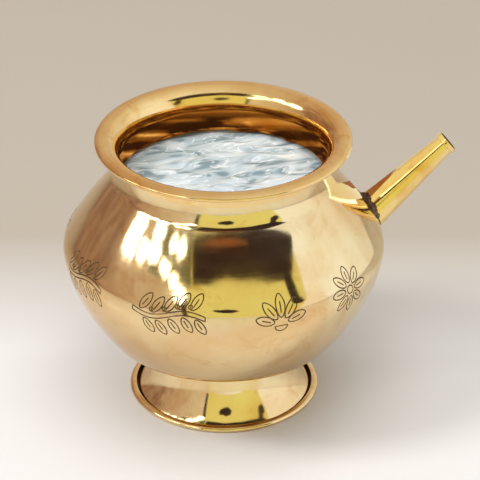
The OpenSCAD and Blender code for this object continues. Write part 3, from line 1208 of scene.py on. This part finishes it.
def dome():
    """Half dome whose light runs from warm brown, behind on the left, to cool white."""
    n = Nodes("dome_light")
    split = n.add("ShaderNodeSeparateXYZ")
    n.link(n.coordinates(), split.inputs[0])
    side = towards(60, 0)
    across = n.math("ADD", n.math("MULTIPLY", split.outputs[0], side.x / DOME_R),
                    n.math("MULTIPLY", split.outputs[1], side.y / DOME_R))
    cloud = n.noise(n.coordinates(), 1.6, 3.0, 0.6)
    across = n.math("ADD", across, n.span(cloud, 0.2, 0.8, -0.25, 0.25))
    colours = n.ramp(n.span(across, -1.0, 1.0, 0.0, 1.0), [
        (0.0, (0.33, 0.20, 0.155)), (0.15, (0.62, 0.45, 0.34)), (0.42, (0.78, 0.69, 0.56)),
        (0.72, (0.96, 0.95, 0.90)), (0.93, (1.14, 1.20, 1.28)),
    ])
    rows, count, verts = 24, 72, []
    for e in steps(-0.02, math.pi / 2 - 0.01, rows):
        level, z = DOME_R * math.cos(e), DOME_R * math.sin(e)
        verts += [on_circle(level, a, z) / MM for a in round_turns(count)]
    faces = bridge(rows + 1, count)
    faces.append(tuple(range(rows * count, (rows + 1) * count)))
    reflected_only(new_object("dome", verts, faces), n.emit(colours))


DOME_R = 3.2
WINDOW = glow("glow_window", (1.0, 0.99, 0.97), 6.0)
YELLOW = glow("glow_yellow", (0.92, 0.89, 0.36), 1.0)
BROWN = glow("glow_brown", (0.042, 0.027, 0.028), 1.0)
EMBER = glow("glow_ember", (0.55, 0.24, 0.12), 0.7)
SPARK = glow("glow_spark", (1.0, 0.98, 0.92), 2.2)
GOLD = glow("glow_gold", (1.0, 0.95, 0.66), 1.0)
STRAW = glow("glow_straw", (0.95, 0.92, 0.80), 0.85)
GREEN = glow("glow_green", (0.20, 0.22, 0.12), 0.9)

dome()
inner_card()
spout_card("card_spout_streak", [(-141, -12, 31), (-150, -12, 31)], 13, SPARK)
spout_card("card_spout_gold", [
    (-150, -12, 39), (-170, -12, 37), (-190, -12, 30), (-210, -12, 24),
], 13, GOLD)
spout_card("card_spout_straw", [(-210, -12, 24), (-240, -12, 21), (-290, -12, 21)], 13, STRAW)
spout_card("card_spout_dark", [
    (-160, 38, 41), (-190, 30, 41), (-210, 24, 41), (-270, 21, 41),
], 13.3, EMBER)
card("card_yellow", [
    (-22, -3, -34, 50), (-8, 0, -15, 53), (1, 1, 2, 54),
    (17, 0, 22, 52), (32, -4, 52, 46), (46, -10, 66, 39),
], YELLOW, 0.95)
card("card_dark", [
    (-24, 37, -33, 49), (-11, 38.5, -15, 52), (1, 40, 2, 53), (14, 38.5, 19, 52),
    (37, 35, 53, 46), (54, 31.5, 70, 38),
], BROWN, 0.90)
card("card_ember", [
    (-26, 47.5, -26, 48), (-8, 48.5, -8, 50.5), (8, 48.5, 8, 50.5), (26, 47.5, 26, 48),
], EMBER, 0.885)
card("card_post", [(-25, -1, -30, 33), (-22, 0, -26, 34)], BROWN, 0.91)
card("card_green", [(-62, 31, -66, 43), (-45, 33, -52, 46), (-25, 36, -34, 50)], GREEN, 0.93)
blob("card_thing_1", 2, 24, 9, 6, BROWN, 3.0, 0.92)
blob("card_thing_2", 52, 24, 5, 9, BROWN, 5.0, 0.92)
for number, (azimuth, elevation, wide, tall) in enumerate((
    (-87, 31, 9, 5.5), (-68, 40.5, 6, 3.5), (-64, 36.5, 6, 3), (-73, 32.5, 6, 3),
    (-50, 43, 3.5, 2.5), (-41, 44, 4.5, 2.5), (-50, 36, 5, 2.5), (-40, 35, 4, 2.2),
    (-33, 33, 6, 2.5),
)):
    blob(f"card_pane_{number}", azimuth, elevation, wide, tall, WINDOW, 10.0 + number)


def floor():
    """Pale floor that turns from white near the pot to beige far behind."""
    n = Nodes("floor_pale")
    at = n.coordinates()
    split = n.add("ShaderNodeSeparateXYZ")
    n.link(at, split.inputs[0])
    behind = towards(180, 0)
    depth = n.math("ADD", n.math("MULTIPLY", split.outputs[0], behind.x),
                   n.math("MULTIPLY", split.outputs[1], behind.y))
    far = n.span(depth, 0.025, 0.11, 0.0, 1.0)
    n.link(n.mix(far, (0.83, 0.83, 0.84), (0.50, 0.45, 0.385)), n.shader.inputs["Base Color"])
    n.shader.inputs["Roughness"].default_value = 0.3
    half = 3000
    corners = [(-half, -half, 0), (half, -half, 0), (half, half, 0), (-half, half, 0)]
    obj = new_object("floor", corners, [(0, 1, 2, 3)])
    obj.data.materials.append(n.material)


floor()


def area_light(name, azimuth, elevation, distance, size, power, colour):
    light = bpy.data.lights.new(name, "AREA")
    light.energy = power
    light.size = size
    light.color = colour
    obj = bpy.data.objects.new(name, light)
    obj.location = CARD_CENTRE + towards(azimuth, elevation) * distance
    obj.rotation_euler = (CARD_CENTRE - obj.location).to_track_quat("-Z", "Y").to_euler()
    obj.visible_glossy = False
    bpy.context.scene.collection.objects.link(obj)


area_light("light_key", -75, 50, 2.2, 0.6, 22, (1.0, 0.98, 0.95))
area_light("light_top", 20, 80, 1.2, 1.0, 8, (1.0, 0.98, 0.95))

world = bpy.data.worlds.new("studio_world")
bpy.context.scene.world = world
world.use_nodes = True
world.node_tree.nodes["Background"].inputs["Color"].default_value = (0.95, 0.93, 0.90, 1.0)
world.node_tree.nodes["Background"].inputs["Strength"].default_value = 0.45
bpy.context.scene.view_settings.view_transform = "Standard"

# --- Camera ------------------------------------------------------------------------------

LENS = 218.0
CAMERA_DISTANCE = 1.05
AIM_RIGHT, AIM_UP = 5.85, 13.2

camera_data = bpy.data.cameras.new("camera")
camera_data.lens = LENS
camera_data.sensor_width = 36
camera = bpy.data.objects.new("camera", camera_data)
bpy.context.scene.collection.objects.link(camera)
outward = towards(0, CAMERA_ELEVATION)
right = towards(90, 0)
upward = outward.cross(right)
aim = Vector((0, 0, 45 * MM)) + right * AIM_RIGHT * MM + upward * AIM_UP * MM
camera.location = aim + outward * CAMERA_DISTANCE
camera.rotation_euler = (-outward).to_track_quat("-Z", "Y").to_euler()
bpy.context.scene.camera = camera
